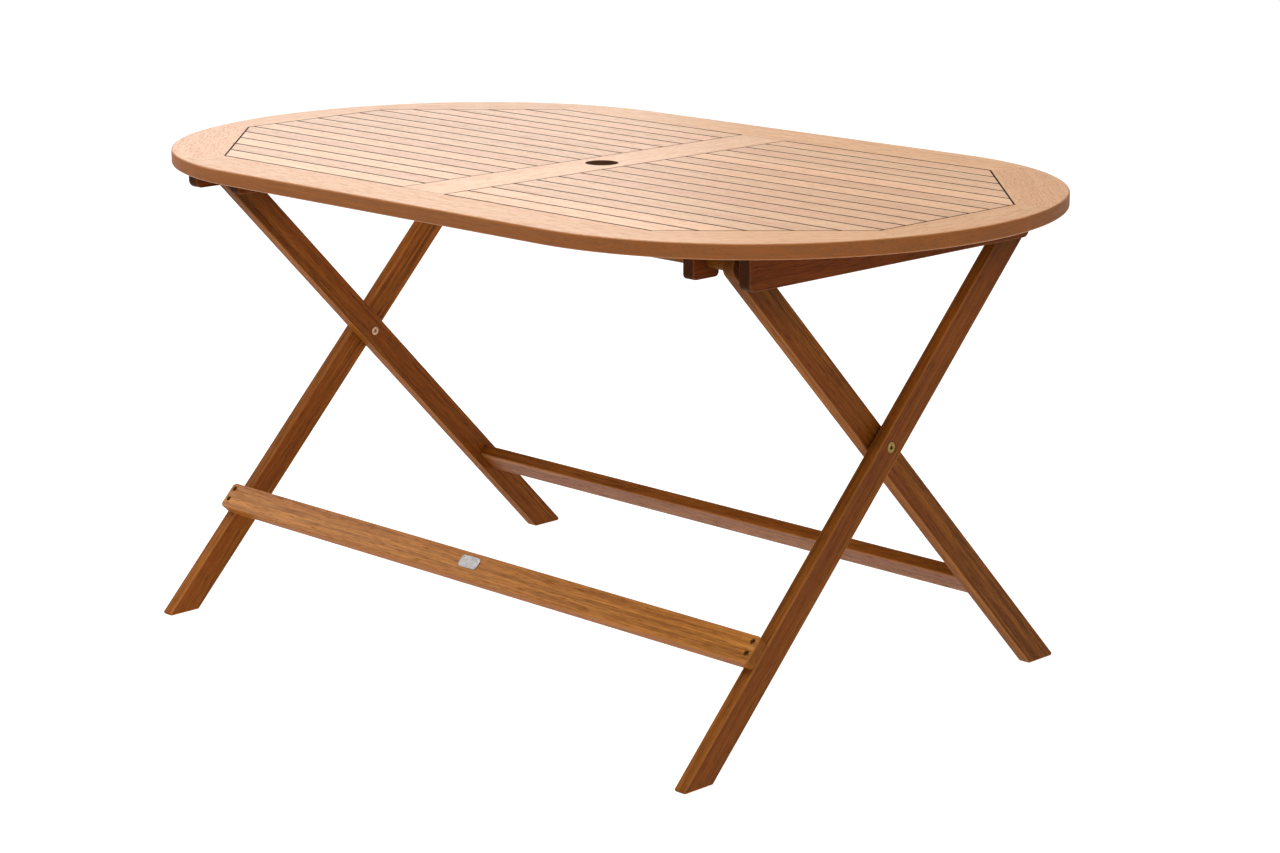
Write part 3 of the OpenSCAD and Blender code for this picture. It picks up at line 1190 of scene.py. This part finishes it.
@dataclass
class LegFrame:
    """One pair of legs with its stretcher and its round rod.

    Attributes:
        lean: Direction of the legs, from the ground to the top.
        leg_ease: Radius of the arrises of the legs and the stretcher.
        rod_ease: Radius of the arrises of the rod's ends.
    """

    lean: Vector
    leg_ease: float = 0.0022
    rod_ease: float = 0.0006

    def legs(self, nodes: Iterable[str], wood: bpy.types.Material) -> None:
        """Builds the legs.

        Args:
            nodes: The two legs' parts.
            wood: Their material.
        """
        for node in nodes:
            timber = Timber(self.lean, Vector((1, 0, 0)), Sawing.RIFT)
            board(node, timber, ease_all(self.leg_ease), wood)

    def stretcher(self, node: str, wood: bpy.types.Material) -> None:
        """Builds the stretcher.

        Args:
            node: The stretcher's part.
            wood: Its material.
        """
        face = self.lean.cross(Vector((1, 0, 0)))
        board(node, Timber(Vector((1, 0, 0)), face), ease_all(self.leg_ease), wood)

    def rod(self, node: str, wood: bpy.types.Material) -> None:
        """Builds the rod.

        Args:
            node: The rod's part.
            wood: Its material.
        """
        timber = Timber(Vector((1, 0, 0)), Vector((0, 0, 1)), Sawing.QUARTER)
        board(node, timber, ease_all(self.rod_ease), wood)


@dataclass
class InnerFrame(LegFrame):
    """The frame that hinges on the top, with the bolts on which the frames cross."""

    def build(
        self,
        wood: bpy.types.Material,
        pale_wood: bpy.types.Material,
        brass: bpy.types.Material,
        steel: bpy.types.Material,
    ) -> None:
        """Builds the frame.

        Args:
            wood: Material of the legs and the rod.
            pale_wood: Material of the stretcher, the leg wood with a paler base colour as painted light.
            brass: Material of the bolts.
            steel: Material of the nuts and washers.
        """
        self.legs(("left_inner_leg", "right_inner_leg"), wood)
        self.stretcher("far_stretcher", pale_wood)
        self.rod("hinge_rod", wood)
        fitting("pivot_bolts", METAL_EASE, brass)
        fitting("pivot_nuts", METAL_EASE, steel)
        fitting("pivot_washers", PLATE_EASE, steel)


@dataclass
class OuterFrame(LegFrame):
    """The frame whose rod drops into the catch blocks, with the screwed stretcher and its badge.

    Attributes:
        screw_length: Length of the stretcher's screws.
        badge_rim: Width of the raised rim of the badge.
        badge_sink: Depth of the badge's field below its rim.
    """

    screw_length: float = 0.046
    badge_rim: float = 0.0016
    badge_sink: float = 0.0003

    def build(
        self,
        wood: bpy.types.Material,
        pale_wood: bpy.types.Material,
        brass: bpy.types.Material,
        plate: bpy.types.Material,
    ) -> None:
        """Builds the frame.

        Args:
            wood: Material of the legs and the rod.
            pale_wood: Material of the stretcher.
            brass: Material of the screws.
            plate: Material of the badge.
        """
        self.legs(("left_outer_leg", "right_outer_leg"), wood)
        self.stretcher("near_stretcher", pale_wood)
        self.rod("catch_rod", wood)
        inwards = self.lean.cross(Vector((1, 0, 0))).normalized()
        if inwards.z > 0:
            inwards.negate()
        WoodScrews("stretcher_screws", inwards, self.screw_length).build(brass)
        self.badge(plate, -inwards)

    def badge(self, plate: bpy.types.Material, out: Vector) -> None:
        """Builds the plain badge, with a sunk field inside a raised rim.

        Args:
            plate: Its material.
            out: Direction that its face looks in.
        """
        mesh = eased_copy("badge", ease_all(PLATE_EASE))
        shape = bmesh.new()
        shape.from_mesh(mesh)
        field = max((f for f in shape.faces if f.normal.dot(out) > 0.99), key=lambda f: f.calc_area())
        bmesh.ops.inset_individual(shape, faces=[field], thickness=self.badge_rim, use_even_offset=True)
        bmesh.ops.inset_individual(
            shape, faces=[field], thickness=self.badge_sink, depth=-self.badge_sink, use_even_offset=True
        )
        shape.to_mesh(mesh)
        shape.free()
        piece = smooth_shaded(mesh, "badge_metal")
        piece.data.materials.append(plate)
        hang(piece, "badge")


# ---- Studio ----


@dataclass(frozen=True)
class Softbox:
    """A square lamp that looks at the table.

    Attributes:
        name: Its name.
        at: Its place.
        size: Its side.
        power: Its power in watts.
        tint: Its colour.
    """

    name: str
    at: Triple
    size: float
    power: float
    tint: Triple

    def build(self) -> None:
        """Adds the lamp."""
        light = bpy.data.lights.new(self.name, "AREA")
        light.size = self.size
        light.energy = self.power
        light.color = self.tint
        box = bpy.data.objects.new(self.name, light)
        box.location = self.at
        aim = Vector(LAMPS_LOOK_AT) - box.location
        box.rotation_euler = aim.to_track_quat("-Z", "Y").to_euler()
        bpy.context.scene.collection.objects.link(box)


LAMPS_LOOK_AT = (0.0, 0.0, 0.5)
LAMPS = (
    Softbox("top_box", (0.1, -0.5, 3.0), 2.4, 96.0, (1.0, 0.985, 0.97)),
    Softbox("left_box", (-2.3, -1.1, 1.6), 1.0, 23.0, (1.0, 0.98, 0.96)),
    Softbox("right_box", (2.9, -1.2, 0.9), 1.2, 7.0, (1.0, 0.92, 0.80)),
    Softbox("back_box", (-6.2, 3.3, 2.6), 5.0, 80.0, (0.90, 0.95, 1.0)),
)


@dataclass
class Studio:
    """A pale floor, soft light and the camera.

    Attributes:
        floor_size: Side of the floor.
        floor_grey: How much light the floor throws back.
        floor_glow: Strength of the floor's own light, which keeps it white.
        sky: Strength of the light from above.
        cove: Strength that the white cove adds to it near the horizon.
        cove_ends: Heights of a direction, from 0 to 1, where the cove ends and where it is full.
        camera_at: Place of the camera.
        camera_down: Angle that the camera looks down by, in degrees.
        camera_turn: Turn of the camera about Z, in degrees.
        lens: Focal length in millimetres on a 36 mm wide sensor.
    """

    floor_size: float = 80.0
    floor_grey: float = 0.35
    floor_glow: float = 0.96
    sky: float = 0.2
    cove: float = 0.8
    cove_ends: tuple[float, float] = (0.24, 0.07)
    camera_at: Triple = (3.2965, -3.2268, 1.4709)
    camera_down: float = 13.82
    camera_turn: float = 44.9
    lens: float = 86.95

    def floor(self) -> None:
        """Builds the floor."""
        half = self.floor_size / 2
        mesh = bpy.data.meshes.new("floor")
        corners = [(-half, -half, 0), (half, -half, 0), (half, half, 0), (-half, half, 0)]
        mesh.from_pydata(corners, [], [(0, 1, 2, 3)])
        floor = bpy.data.objects.new("floor", mesh)
        bpy.context.scene.collection.objects.link(floor)
        shader = Shader("floor")
        grey = (self.floor_grey, self.floor_grey, self.floor_grey, 1.0)
        shader.set(Base_Color=grey, Roughness=1.0, Specular_IOR_Level=0.0)
        shader.set(Emission_Color=(1.0, 1.0, 1.0, 1.0), Emission_Strength=self.floor_glow)
        floor.data.materials.append(shader.material)

    def world(self) -> None:
        """Lights the scene from all round, most from the white cove behind the floor."""
        world = bpy.data.worlds.new("studio")
        bpy.context.scene.world = world
        world.use_nodes = True
        graph = Graph(world.node_tree)
        graph.tree.nodes.clear()
        ray = graph.signal("ShaderNodeTexCoord", None, None, "Generated")
        height = graph.node("ShaderNodeSeparateXYZ", None, {0: ray})
        cove = Signal(graph, height.outputs[2]).between(*self.cove_ends)
        sky = graph.node(
            "ShaderNodeBackground",
            None,
            {"Color": (1.0, 1.0, 1.0, 1.0), "Strength": self.sky + cove * self.cove},
        )
        graph.node("ShaderNodeOutputWorld", None, {"Surface": sky.outputs[0]})

    def camera(self) -> None:
        """Adds the camera."""
        data = bpy.data.cameras.new("camera")
        data.sensor_width = 36.0
        data.lens = self.lens
        camera = bpy.data.objects.new("camera", data)
        camera.location = self.camera_at
        tilt = math.radians(90 - self.camera_down)
        camera.rotation_euler = (tilt, 0.0, math.radians(self.camera_turn))
        bpy.context.scene.collection.objects.link(camera)
        bpy.context.scene.camera = camera

    def build(self) -> None:
        """Builds the whole studio."""
        bpy.context.scene.view_settings.view_transform = "Standard"
        self.floor()
        self.world()
        for lamp in LAMPS:
            lamp.build()
        self.camera()


def main() -> None:
    """Builds the table's pieces and the studio, in order."""
    logging.basicConfig(level=logging.INFO, format="%(name)s: %(message)s")
    Studio().build()
    brass, steel, plate = BRASS.make(), STEEL.make(), PLATE.make()
    leg_wood = LEG_WOOD.make()
    top = TableTop()
    slat_wood = TOP_WOOD.make()
    top.rim(RIM_WOOD.make())
    top.rail(slat_wood)
    top.slats(slat_wood)
    top.underside(PAINTED_SHADE_BATTEN_WOOD.make())
    top.screws(brass)
    lean = JOINT_AT["leg_fold"] - JOINT_AT["frame_scissor"]
    InnerFrame(lean).build(leg_wood, PAINTED_LIT_LEG_WOOD.make(), brass, steel)
    mirrored = Vector((lean.x, -lean.y, lean.z))
    OuterFrame(mirrored).build(leg_wood, STRETCHER_WOOD.make(), brass, plate)


if __name__ == "__main__":
    main()
